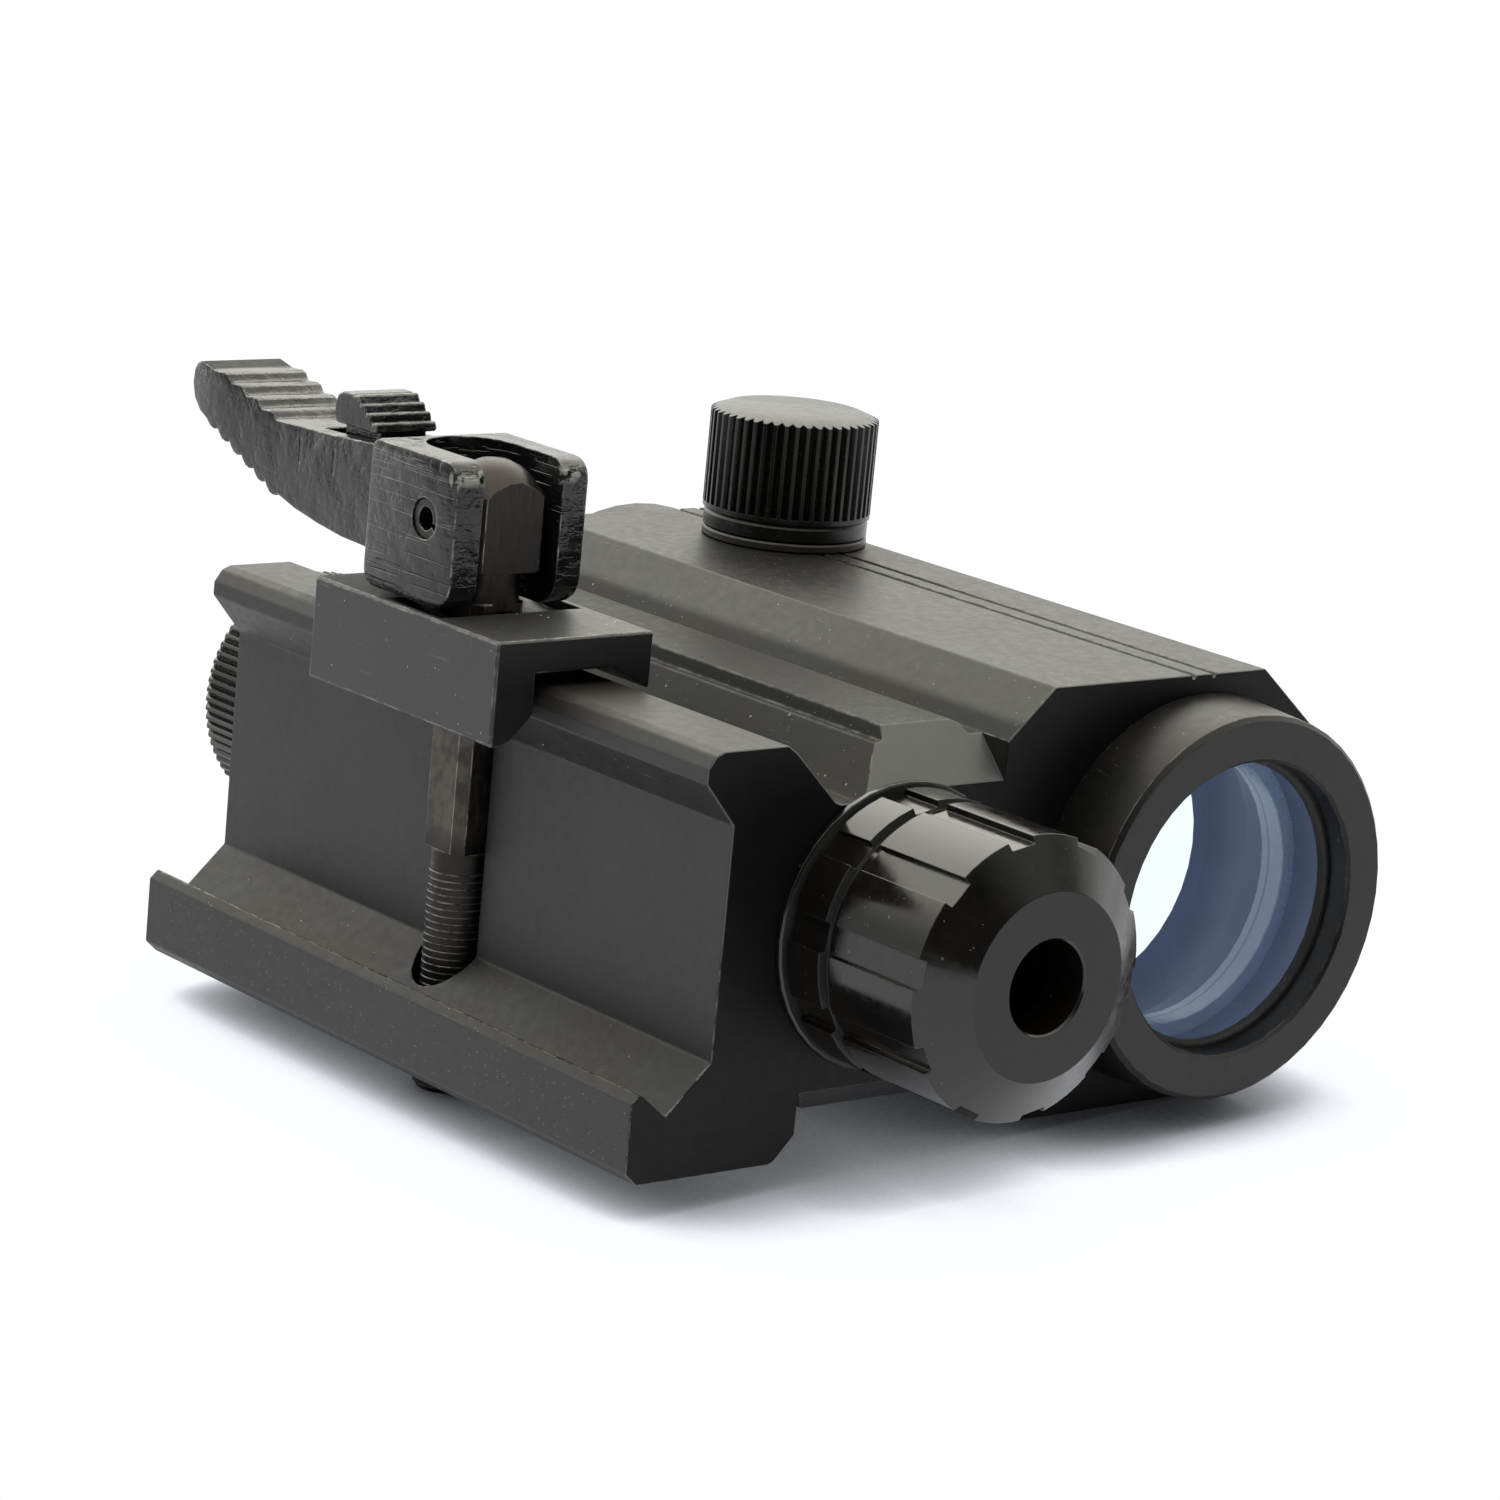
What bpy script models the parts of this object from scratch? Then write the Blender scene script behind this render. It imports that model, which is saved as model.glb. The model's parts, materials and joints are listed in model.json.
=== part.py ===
"""Compact red dot sight with a laser pointer below the tube and a quick-detach rail clamp.

Frame (metres, +Z up): the rail seat is the plane Z = 0, the bore axis lies over X = 0,
+Y is the objective (muzzle) end and +X is the side with the clamp lever and the windage turret.
Stations along Y are written from the clamp bolt; the assembly is then moved so that the frame's
origin is the middle of the seat's front pad.
"""
import math

import bmesh
import bpy
from mathutils import Matrix, Vector

MM = 0.001                 # all sizes below are millimetres

# ---------------------------------------------------------------- driving dimensions
BODY_LEN = 57.2            # housing extrusion length
SEAT_STATION = 14.3        # middle of the seat's front pad, measured from the clamp bolt

TUBE_Z = 40.8              # height of the optical axis
TUBE_HALF = 15.2           # half width over the tube's side flats
TUBE_TOP = 54.6            # height of the top flat
LASER_Z = 14.24            # height of the laser axis
BOLT_Z = 0.2               # height of the clamp bolt's axis
LEVER_Z = 0.2              # lever centre plane
TURRET_Y = -17.3           # both turrets stand at this station
PIN_X = 22.3               # lever pivot
PIN_R = 1.35

X_AXIS, Y_AXIS, Z_AXIS = (1, 0, 0), (0, 1, 0), (0, 0, 1)
AT_TUBE = (0, 0, TUBE_Z)
AT_TURRETS = (0, TURRET_Y, TUBE_Z)
AT_LASER = (0, 0, LASER_Z)
AT_BOLT = (0, 0, BOLT_Z)
AT_PIN = (PIN_X, 0, LEVER_Z)

FINE, MID, SMALL = 48, 36, 24   # facets round large, medium and small turned pieces

# ---------------------------------------------------------------- clean scene, collections
for old in list(bpy.data.objects):
    bpy.data.objects.remove(old, do_unlink=True)

scene = bpy.context.scene
parts = bpy.data.collections.new("red_dot_laser_sight")
tools = bpy.data.collections.new("cutters")
scene.collection.children.link(parts)
scene.collection.children.link(tools)


# ---------------------------------------------------------------- materials
def principled(name, colour, roughness, metallic, transmission=0.0, ior=1.5):
    material = bpy.data.materials.new(name)
    material.use_nodes = True
    inputs = material.node_tree.nodes["Principled BSDF"].inputs
    inputs["Base Color"].default_value = (*colour, 1)
    inputs["Roughness"].default_value = roughness
    inputs["Metallic"].default_value = metallic
    inputs["Transmission Weight"].default_value = transmission
    inputs["IOR"].default_value = ior
    return material


ANODISED = principled("black_anodised", colour=(0.030, 0.030, 0.031), roughness=0.45, metallic=0.6)
GLOSS_BLACK = principled(
    "gloss_black_anodised", colour=(0.016, 0.016, 0.017), roughness=0.28, metallic=0.6)
CAST_BLACK = principled(
    "black_cast_lever", colour=(0.014, 0.014, 0.015), roughness=0.32, metallic=0.4)
STEEL = principled("blackened_steel", colour=(0.085, 0.078, 0.070), roughness=0.42, metallic=0.9)
BRIGHT = principled("bright_steel", colour=(0.55, 0.55, 0.55), roughness=0.30, metallic=1.0)
BRASS = principled("brass", colour=(0.62, 0.43, 0.17), roughness=0.33, metallic=1.0)
GLASS = principled("coated_glass", colour=(0.55, 0.68, 0.95), roughness=0.03, metallic=0.0,
                   transmission=1.0, ior=1.52)
PLASTIC = principled("black_plastic", colour=(0.02, 0.02, 0.02), roughness=0.5, metallic=0.0)
BOARD = principled("green_board", colour=(0.03, 0.16, 0.06), roughness=0.5, metallic=0.0)
CELL = principled("cell_wrap", colour=(0.30, 0.31, 0.33), roughness=0.35, metallic=0.8)
RUBBER = principled("black_rubber", colour=(0.012, 0.012, 0.012), roughness=0.7, metallic=0.0)
LED_RED = principled("red_led", colour=(0.75, 0.04, 0.03), roughness=0.25, metallic=0.0)


# ---------------------------------------------------------------- solids
def keep(obj, material):
    """Add a finished piece to the sight."""
    parts.objects.link(obj)
    obj.data.materials.append(material)
    return obj


def from_bmesh(name, shape):
    bmesh.ops.recalc_face_normals(shape, faces=shape.faces)
    mesh = bpy.data.meshes.new(name)
    shape.to_mesh(mesh)
    shape.free()
    return bpy.data.objects.new(name, mesh)


def extrude(shape, points, push):
    """Add to `shape` a face through `points`, pushed along the vector `push`."""
    face = shape.faces.new([shape.verts.new(point) for point in points])
    moved = bmesh.ops.extrude_face_region(shape, geom=[face])["geom"]
    verts = [item for item in moved if isinstance(item, bmesh.types.BMVert)]
    bmesh.ops.translate(shape, verts=verts, vec=push)


def place(obj, axis, at):
    """Stand the object's local +Z along a world axis, with its origin at `at`."""
    turn = Vector(Z_AXIS).rotation_difference(Vector(axis)).to_matrix().to_4x4()
    obj.matrix_world = Matrix.Translation(Vector(at) * MM) @ turn
    return obj


def prism(name, outline, plane, start, end, at=(0, 0, 0)):
    """A flat outline pushed from start to end: plane 'XZ' runs along Y, 'XY' along Z and
    'YZ' along X. The object's origin is at `at`."""

    def point(first, second, depth):
        position = {
            "XZ": (first, depth, second),
            "XY": (first, second, depth),
            "YZ": (depth, first, second),
        }[plane]
        return Vector([value - origin for value, origin in zip(position, at)]) * MM

    shape = bmesh.new()
    extrude(shape, [point(*corner, start) for corner in outline],
            point(0, 0, end) - point(0, 0, start))
    obj = from_bmesh(name, shape)
    obj.location = Vector(at) * MM
    return obj


def box(name, x0, x1, y0, y1, z0, z1):
    return prism(name, [(x0, z0), (x1, z0), (x1, z1), (x0, z1)], "XZ", y0, y1)


def turned(name, profile, axis, at, facets):
    """A profile of (radius, height) turned about `axis`. A profile that starts on the axis also
    ends there; any other is closed into a ring."""
    shape = bmesh.new()
    verts = [shape.verts.new((radius * MM, 0, height * MM)) for radius, height in profile]
    for one, other in zip(verts, verts[1:]):
        shape.edges.new((one, other))
    if profile[0][0] > 0:
        shape.edges.new((verts[-1], verts[0]))
    mesh = bpy.data.meshes.new(name)
    shape.to_mesh(mesh)
    shape.free()
    source = bpy.data.objects.new(name + "_profile", mesh)
    scene.collection.objects.link(source)
    screw = source.modifiers.new("turn", "SCREW")
    screw.angle = 2 * math.pi
    screw.steps = screw.render_steps = facets
    screw.use_merge_vertices = True
    screw.merge_threshold = 1e-6
    bpy.context.view_layer.update()
    evaluated = source.evaluated_get(bpy.context.evaluated_depsgraph_get())
    solid = bpy.data.meshes.new_from_object(evaluated)
    bpy.data.objects.remove(source, do_unlink=True)
    shape = bmesh.new()
    shape.from_mesh(solid)
    bmesh.ops.remove_doubles(shape, verts=shape.verts, dist=1e-7)
    return place(from_bmesh(name, shape), axis, at)


def rod(name, radius, start, end, axis, at, facets):
    profile = [(0, start), (radius, start), (radius, end), (0, end)]
    return turned(name, profile, axis, at, facets)


def grooves(name, count, floor_r, outer_r, outer_half, start, end, axis, at, phase, floor_half=0):
    """Evenly spaced grooves round an axis as one cutter: a V, or a flat floor of half width
    `floor_half`."""
    section = [(floor_r, -floor_half), (outer_r, -outer_half), (outer_r, outer_half)]
    if floor_half:
        section.append((floor_r, floor_half))
    shape = bmesh.new()
    for k in range(count):
        turn = Matrix.Rotation(phase + 2 * math.pi * k / count, 3, "Z")
        points = [turn @ Vector((radius * MM, across * MM, start * MM))
                  for radius, across in section]
        extrude(shape, points, (0, 0, (end - start) * MM))
    return place(from_bmesh(name, shape), axis, at)


# ---------------------------------------------------------------- modifiers and shading
def boolean(obj, tool, how="DIFFERENCE"):
    tools.objects.link(tool)
    tool.hide_render = True
    tool.display_type = "WIRE"
    modifier = obj.modifiers.new(how.lower() + "_" + tool.name, "BOOLEAN")
    modifier.operation = how
    modifier.solver = "EXACT"
    modifier.object = tool


def soften(obj, width, segments=1, angle=30):
    modifier = obj.modifiers.new("soften", "BEVEL")
    modifier.width = width * MM
    modifier.segments = segments
    modifier.limit_method = "ANGLE"
    modifier.angle_limit = math.radians(angle)
    modifier.use_clamp_overlap = True


def smooth(obj, angle=30):
    obj.data.shade_smooth()
    obj.data.set_sharp_from_angle(angle=math.radians(angle))


# ---------------------------------------------------------------- outlines
def rounded(corners, steps):
    """An outline from (x, y, radius) corners, each corner turned into an arc."""
    outline = []
    for k, (x, y, radius) in enumerate(corners):
        corner = Vector((x, y))
        back = (Vector(corners[k - 1][:2]) - corner).normalized()
        ahead = (Vector(corners[(k + 1) % len(corners)][:2]) - corner).normalized()
        half = back.angle(ahead) / 2
        reach = radius / math.tan(half)
        centre = corner + (back + ahead).normalized() * (radius / math.sin(half))
        first = corner + back * reach - centre
        last = corner + ahead * reach - centre
        sweep = first.angle_signed(last)
        for step in range(steps + 1):
            turn = -sweep * step / steps
            cos, sin = math.cos(turn), math.sin(turn)
            spoke = Vector((first.x * cos - first.y * sin, first.x * sin + first.y * cos))
            outline.append(tuple(centre + spoke))
    return outline


def arc(centre, radius, start, sweep, steps):
    """Points round a centre; start and sweep in degrees."""
    points = []
    for k in range(steps + 1):
        angle = math.radians(start + sweep * k / steps)
        points.append((centre[0] + radius * math.cos(angle), centre[1] + radius * math.sin(angle)))
    return points


def dome(edge_r, edge_height, rise, steps=3):
    """Profile from the axis to the edge of a shallow parabola standing `rise` proud."""
    radii = [edge_r * k / steps for k in range(steps + 1)]
    return [(radius, edge_height + rise * (1 - (radius / edge_r) ** 2)) for radius in radii]


def chamfered_square(side, chamfer):
    """A (y, z) square with cut corners, centred on the clamp bolt."""
    half = side / 2
    flat = half - chamfer
    corners = [(-flat, -half), (flat, -half), (half, -flat), (half, flat),
               (flat, half), (-flat, half), (-half, flat), (-half, -flat)]
    return [(y, z + BOLT_Z) for y, z in corners]


# ---------------------------------------------------------------- housing: one milled extrusion
SEAT_HALF = 7.9            # half width of the rail seat (rail flat 15.67 wide)
HOOK_DEPTH = 6.25          # how far the fixed jaw reaches below the seat
JAW_X = -15.5              # outer face of the fixed jaw
LIP_X = 12.87              # outer face of the clamp lip
LASER_HALF = 12.65         # half width over the laser section
TUBE_BORE_R = 12.2
THREAD_R = 12.95           # counterbores for the front and rear bezels
LASER_BORE_R = 8.15
BATTERY_BORE_R = LASER_BORE_R + 0.05
BORE_CUT_Y = 31            # the bore cutters end here, beyond both ends of the housing
TURRET_HOLE_R = 4.2

# (x, z) outline: +X side below the tube, the part both sides share, -X side below the tube
lower_right = [
    (SEAT_HALF, 0.0), (10.8, -2.5), (11.75, -2.5), (12.6, -1.9), (LIP_X, -1.2), (LIP_X, 4.0),
    (12.35, 4.75), (8.8, 8.4), (8.6, 8.85), (8.6, 10.4), (9.1, 10.95), (11.75, 13.55),
    (11.75, 14.2), (LASER_HALF, 14.75),
]
upper_right = [
    (LASER_HALF, 20.75), (12.35, 21.45), (11.75, 21.8), (11.75, 23.0),
    (TUBE_HALF, 26.84), (TUBE_HALF, 46.36), (8.3, TUBE_TOP),
]
upper_left = [(-x, z) for x, z in reversed(upper_right)]
lower_left = [
    (-LASER_HALF, 9.6), (-10.9, 7.85), (-10.9, 7.7), (-13.7, 7.7), (-15.35, 6.1), (JAW_X, 5.7),
    (JAW_X, -5.3), (-14.65, -HOOK_DEPTH), (-9.95, -HOOK_DEPTH), (-9.35, -5.6), (-11.1, -3.35),
    (-SEAT_HALF, 0.0),
]
housing = keep(prism("housing", lower_right + upper_right + upper_left + lower_left, "XZ",
                     -BODY_LEN / 2, BODY_LEN / 2), ANODISED)
soften(housing, 0.18, angle=25)

# tube bore with the two bezel counterbores
boolean(housing, turned("cut_tube", [
    (0, BORE_CUT_Y), (THREAD_R, BORE_CUT_Y), (THREAD_R, 23.4), (TUBE_BORE_R, 22.8),
    (TUBE_BORE_R, -22.8), (THREAD_R, -23.4), (THREAD_R, -BORE_CUT_Y), (0, -BORE_CUT_Y)],
    Y_AXIS, AT_TUBE, FINE))
# laser bore in front, battery bore behind, a narrower web between
boolean(housing, turned("cut_laser", [
    (0, BORE_CUT_Y), (LASER_BORE_R, BORE_CUT_Y), (LASER_BORE_R, 8.0), (6.6, 7.4), (6.6, 3.6),
    (BATTERY_BORE_R, 3.0), (BATTERY_BORE_R, -BORE_CUT_Y), (0, -BORE_CUT_Y)],
    Y_AXIS, AT_LASER, MID))
# clamp bolt: through hole, open towards the rail as a groove, and the nut's counterbore
boolean(housing, turned("cut_bolt", [
    (0, 15), (2.8, 15), (2.8, -12.9), (4.0, -12.9), (4.0, -17), (0, -17)], X_AXIS, AT_BOLT, MID))
boolean(housing, rod("cut_windage", TURRET_HOLE_R, 17, 10, X_AXIS, AT_TURRETS, SMALL))
boolean(housing, rod("cut_elevation", TURRET_HOLE_R, 16, 9, Z_AXIS, AT_TURRETS, SMALL))
# milled run-outs at the front of the laser section, (x, y) outlines
RUNOUT_TOP = 22.96
boolean(housing, prism("cut_ramp_right", [
    (8.6, 29.1), (13.7, 24.0), (20, 24.0), (20, 29.1)], "XY", 9.4, RUNOUT_TOP))
boolean(housing, prism("cut_ramp_left", [
    (-10.3, 29.1), (-20, 29.1), (-20, 26.0), (-13.4, 26.0)], "XY", 7.78, RUNOUT_TOP))
# pair of thin score lines along the +X flat
LINE_HEIGHTS = (39.55, 41.45)
LINE_FLOOR_X, LINE_FLOOR_HALF = TUBE_HALF - 0.3, 0.10
LINE_MOUTH_X, LINE_MOUTH_HALF = TUBE_HALF + 0.4, 0.56
for i, z in enumerate(LINE_HEIGHTS):
    boolean(housing, prism(f"cut_line_{i}", [
        (LINE_MOUTH_X, z - LINE_MOUTH_HALF), (LINE_FLOOR_X, z - LINE_FLOOR_HALF),
        (LINE_FLOOR_X, z + LINE_FLOOR_HALF), (LINE_MOUTH_X, z + LINE_MOUTH_HALF)],
        "XZ", -30, 30))

# ---------------------------------------------------------------- objective end
SPIGOT_R = 12.8            # both bezels' spigots, in the housing counterbores
BEZEL_BORE_R = 10.95
WINDOW_R = 10.8            # windows and their retainers
RETAINER_BORE_R = 9.7

keep(turned("objective_bezel", [
    (13.55, 33.95), (13.9, 28.95), (13.9, 28.7), (SPIGOT_R, 28.7), (SPIGOT_R, 23.6),
    (BEZEL_BORE_R, 23.6), (BEZEL_BORE_R, 32.45), (10.35, 32.45), (10.35, 34.05), (10.6, 34.3),
    (13.2, 34.3)], Y_AXIS, AT_TUBE, FINE), GLOSS_BLACK)
keep(turned("objective_gasket", [
    (10.85, 32.35), (10.85, 31.85), (9.85, 31.75), (9.85, 32.1), (10.1, 32.35)],
    Y_AXIS, AT_TUBE, MID), RUBBER)
keep(turned("objective_window", dome(WINDOW_R, 31.0, 0.55) + dome(WINDOW_R, 29.0, 0.45)[::-1],
            Y_AXIS, AT_TUBE, MID), GLASS)
keep(turned("objective_retainer", [
    (WINDOW_R, 28.5), (WINDOW_R, 26.4), (RETAINER_BORE_R, 26.4), (RETAINER_BORE_R, 28.5)],
    Y_AXIS, AT_TUBE, MID), GLOSS_BLACK)

# ---------------------------------------------------------------- ocular end
keep(turned("ocular_bezel", [
    (14.2, -28.9), (14.2, -35.4), (13.6, -36.0), (10.7, -36.0), (10.3, -35.6), (10.3, -34.2),
    (BEZEL_BORE_R, -34.2), (BEZEL_BORE_R, -23.6), (SPIGOT_R, -23.6), (SPIGOT_R, -28.75),
    (14.0, -28.75)], Y_AXIS, AT_TUBE, FINE), GLOSS_BLACK)
keep(rod("ocular_window", WINDOW_R, -31.6, -33.9, Y_AXIS, AT_TUBE, MID), GLASS)
keep(turned("ocular_retainer", [
    (WINDOW_R, -28.9), (WINDOW_R, -31.2), (RETAINER_BORE_R, -31.2), (RETAINER_BORE_R, -28.9)],
    Y_AXIS, AT_TUBE, MID), GLOSS_BLACK)

# ---------------------------------------------------------------- tilting optics tube
keep(turned("inner_tube", [
    (11.95, 18.6), (11.95, 15.2), (10.6, 14.6), (10.6, -21.0), (9.2, -21.0), (9.2, 16.8),
    (9.95, 16.8), (9.95, 19.2), (11.4, 19.2)], Y_AXIS, AT_TUBE, MID), ANODISED)

REFLEX_R = 9.85
REFLEX_BACK_Y = 17.1       # rear edge of the lens
keep(turned("reflex_lens",
            dome(REFLEX_R, 19.3, -0.7) + dome(REFLEX_R, REFLEX_BACK_Y, -0.9)[::-1],
            Y_AXIS, AT_TUBE, MID), GLASS)

AT_EMITTER = (0, 0, TUBE_Z - 7.4)
EMITTER_FACETS = 12
HOLDER_BOTTOM, HOLDER_TOP = TUBE_Z - 8.35, TUBE_Z - 6.4
holder = keep(prism("emitter_holder", [
    (-3.2, HOLDER_BOTTOM), (3.2, HOLDER_BOTTOM), (2.3, HOLDER_TOP), (-2.3, HOLDER_TOP)],
    "XZ", -19.5, -14.5), PLASTIC)
boolean(holder, rod("cut_emitter", 0.75, -13.5, -17.5, Y_AXIS, AT_EMITTER, EMITTER_FACETS))
keep(turned("led_emitter", [
    (0, -14.9), (0.3, -14.95), (0.55, -15.3), (0.6, -15.6), (0.6, -17.3), (0, -17.3)],
    Y_AXIS, AT_EMITTER, EMITTER_FACETS), LED_RED)

# leaf spring in the gap opposite the two adjusters, bowed between the bore and the inner tube
LEAF_ANGLE = 225           # middle of the leaf, degrees from +X towards +Z
LEAF_SWEEP = 52
LEAF_BOW = 0.75            # how much farther out the ends lie than the middle


def leaf_edge(middle_r, sweep):
    points = []
    for k in range(9):
        angle = math.radians(LEAF_ANGLE - sweep / 2 + sweep * k / 8)
        radius = middle_r + LEAF_BOW * abs(k - 4) / 4
        points.append((radius * math.cos(angle), TUBE_Z + radius * math.sin(angle)))
    return points


keep(prism("return_spring", leaf_edge(11.15, LEAF_SWEEP) + leaf_edge(10.85, -LEAF_SWEEP),
           "XZ", -20.2, -14.4), BRIGHT)

# ---------------------------------------------------------------- turrets
TURRET_R = 6.3
KNURLS = 48
SCREW_FOOT = 10.75         # inner end of each adjusting screw, from the optical axis
SLOT_HALF = 0.4            # screwdriver slot
SLOT_REACH = 4


def turret(name, axis, flat):
    """A turret standing on a flat that is `flat` from the optical axis, along `axis`."""
    keep(turned(name + "_base", [
        (6.2, flat + 0.55), (6.2, flat + 0.12), (4.1, flat + 0.12), (4.1, flat - 1.9),
        (2.6, flat - 1.9), (2.6, flat + 5.4), (4.55, flat + 5.4), (4.55, flat + 0.7),
        (6.1, flat + 0.7)], axis, AT_TURRETS, facets=32), GLOSS_BLACK)
    cap = keep(turned(name + "_cap", [
        (0, flat + 9.9), (5.1, flat + 9.9), (TURRET_R, flat + 9.45), (TURRET_R, flat + 2.15),
        (6.05, flat + 1.95), (6.17, flat + 1.75), (6.17, flat + 0.85), (4.8, flat + 0.85),
        (4.8, flat + 7.4), (0, flat + 7.4)], axis, AT_TURRETS, KNURLS), GLOSS_BLACK)
    boolean(cap, grooves(
        f"cut_{name}_knurl", KNURLS, floor_r=TURRET_R - 0.45, outer_r=TURRET_R + 0.5,
        outer_half=0.62, start=flat + 2.5, end=flat + 11, axis=axis, at=AT_TURRETS,
        phase=math.pi / KNURLS))
    screw = keep(turned(name + "_screw", [
        (0, flat + 6.3), (2.2, flat + 6.3), (2.45, flat + 6.05), (2.45, 11.4),
        (1.6, SCREW_FOOT), (0, SCREW_FOOT)], axis, AT_TURRETS, facets=20), STEEL)
    depth, width = (flat + 5.3, flat + 8), (-SLOT_HALF, SLOT_HALF)
    (x0, x1), (z0, z1) = (depth, width) if axis == X_AXIS else (width, depth)
    boolean(screw, box(f"cut_{name}_slot", x0, x1, TURRET_Y - SLOT_REACH, TURRET_Y + SLOT_REACH,
                       TUBE_Z + z0, TUBE_Z + z1))


turret("windage", X_AXIS, TUBE_HALF)
turret("elevation", Z_AXIS, TUBE_TOP - TUBE_Z)

# ---------------------------------------------------------------- laser module
LASER_BEZEL_R = 9.58
keep(turned("laser_collar", [
    (9.85, 29.05), (9.85, 28.7), (8.0, 28.7), (8.0, 22.0), (5.2, 22.0), (5.2, 35.2), (7.0, 35.2),
    (7.0, 29.15), (9.7, 29.15)], Y_AXIS, AT_LASER, MID), GLOSS_BLACK)
bezel = keep(turned("laser_bezel", [
    (LASER_BEZEL_R - 0.2, 29.4), (LASER_BEZEL_R, 29.6), (LASER_BEZEL_R, 32.7), (8.95, 32.85),
    (8.95, 33.55), (LASER_BEZEL_R, 33.7), (LASER_BEZEL_R, 41.9), (6.33, 44.0), (3.3, 44.0),
    (3.15, 43.85), (3.15, 40.6), (5.6, 40.0), (7.25, 40.0), (7.25, 29.4)],
    Y_AXIS, AT_LASER, facets=60), GLOSS_BLACK)
# ten flat-bottomed flutes; the phase is measured from world +X towards world -Z
boolean(bezel, grooves(
    "cut_flutes", 10, floor_r=LASER_BEZEL_R - 0.5, outer_r=LASER_BEZEL_R + 1.2, outer_half=1.25,
    start=29.0, end=46.0, axis=Y_AXIS, at=AT_LASER, phase=math.radians(-61.3), floor_half=0.95))
keep(turned("laser_barrel", [
    (5.0, 38.6), (5.0, 9.4), (4.1, 9.4), (4.1, 34.4), (3.3, 34.6), (3.3, 35.0), (4.1, 35.0),
    (4.1, 38.6)], Y_AXIS, AT_LASER, facets=28), BRASS)
keep(turned("collimating_lens", dome(4.0, 36.6, 0.9) + [(4.0, 35.5), (0.0, 35.5)],
            Y_AXIS, AT_LASER, SMALL), GLASS)
keep(turned("laser_diode", [
    (0, 29.4), (1.75, 29.4), (1.9, 29.2), (1.9, 26.6), (2.8, 26.6), (2.8, 25.4), (0, 25.4)],
    Y_AXIS, AT_LASER, facets=20), BRIGHT)
BOARD_HALF_WIDTH, BOARD_HALF_THICK = 3.1, 0.55
keep(box("driver_board", -BOARD_HALF_WIDTH, BOARD_HALF_WIDTH, 12.0, 24.8,
         LASER_Z - BOARD_HALF_THICK, LASER_Z + BOARD_HALF_THICK), BOARD)

# conical contact spring between the driver and the cell, wide end to the rear
COIL_WIRE_R = 0.28
COIL_TURNS = 3
COIL_STEPS = 10 * COIL_TURNS
COIL_REAR_R, COIL_TAPER = 5.6, 3.4
COIL_REAR_Y, COIL_LENGTH = 2.3, 6.3
coil = bpy.data.curves.new("contact_spring", "CURVE")
coil.dimensions = "3D"
coil.bevel_depth = COIL_WIRE_R * MM
coil.bevel_resolution = 2
coil.use_fill_caps = True
spline = coil.splines.new("POLY")
spline.points.add(COIL_STEPS)
for k in range(COIL_STEPS + 1):
    along = k / COIL_STEPS
    angle = 2 * math.pi * COIL_TURNS * along
    radius = COIL_REAR_R - COIL_TAPER * along
    x = radius * math.cos(angle)
    y = COIL_REAR_Y + COIL_LENGTH * along
    z = LASER_Z + radius * math.sin(angle)
    spline.points[k].co = (x * MM, y * MM, z * MM, 1)
keep(bpy.data.objects.new("contact_spring", coil), BRIGHT)

keep(turned("battery_cell", [
    (0, 1.7), (2.6, 1.7), (2.6, 0.7), (7.3, 0.7), (7.75, 0.3), (7.75, -25.6), (7.4, -26.0),
    (0, -26.0)], Y_AXIS, AT_LASER, facets=30), CELL)

BATTERY_CAP_R = 9.25
BATTERY_CAP_END = -40.2
CAP_RIDGES = 80
battery_cap = keep(turned("battery_cap", [
    (0, BATTERY_CAP_END), (8.7, BATTERY_CAP_END), (BATTERY_CAP_R, BATTERY_CAP_END + 0.5),
    (BATTERY_CAP_R, -28.95), (7.95, -28.95), (7.95, -26.6), (6.4, -26.6), (6.4, -37.6),
    (0, -37.6)], Y_AXIS, AT_LASER, CAP_RIDGES), GLOSS_BLACK)
boolean(battery_cap, grooves(
    "cut_cap_knurl", CAP_RIDGES, floor_r=BATTERY_CAP_R - 0.36, outer_r=BATTERY_CAP_R + 0.5,
    outer_half=0.60, start=-42.0, end=-29.9, axis=Y_AXIS, at=AT_LASER,
    phase=math.pi / CAP_RIDGES))

# ---------------------------------------------------------------- clamp block
BLOCK_REAR, BLOCK_FRONT = -10.75, 10.5
BLOCK_X = 16.2             # outer face
BLOCK_BOTTOM, BLOCK_TOP = -6.2, 6.75
block = keep(prism("clamp_block", [
    (BLOCK_X, BLOCK_BOTTOM), (BLOCK_X, BLOCK_TOP), (12.25, BLOCK_TOP), (13.9, 3.45),
    (13.9, -2.85), (11.1, -2.85), (9.45, -4.5), (9.1, -5.4), (9.1, BLOCK_BOTTOM)],
    "XZ", BLOCK_REAR, BLOCK_FRONT, (BLOCK_X, 0, BOLT_Z)), ANODISED)
soften(block, 0.16)
boolean(block, rod("cut_block_bolt", 2.85, 20, 7, X_AXIS, AT_BOLT, MID))
# hollow for the lever's cam
boolean(block, rod("cut_block_cam", 6.9, LEVER_Z + 6.0, LEVER_Z - 5.85,
                   Z_AXIS, (PIN_X, 0, 0), FINE))

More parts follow.
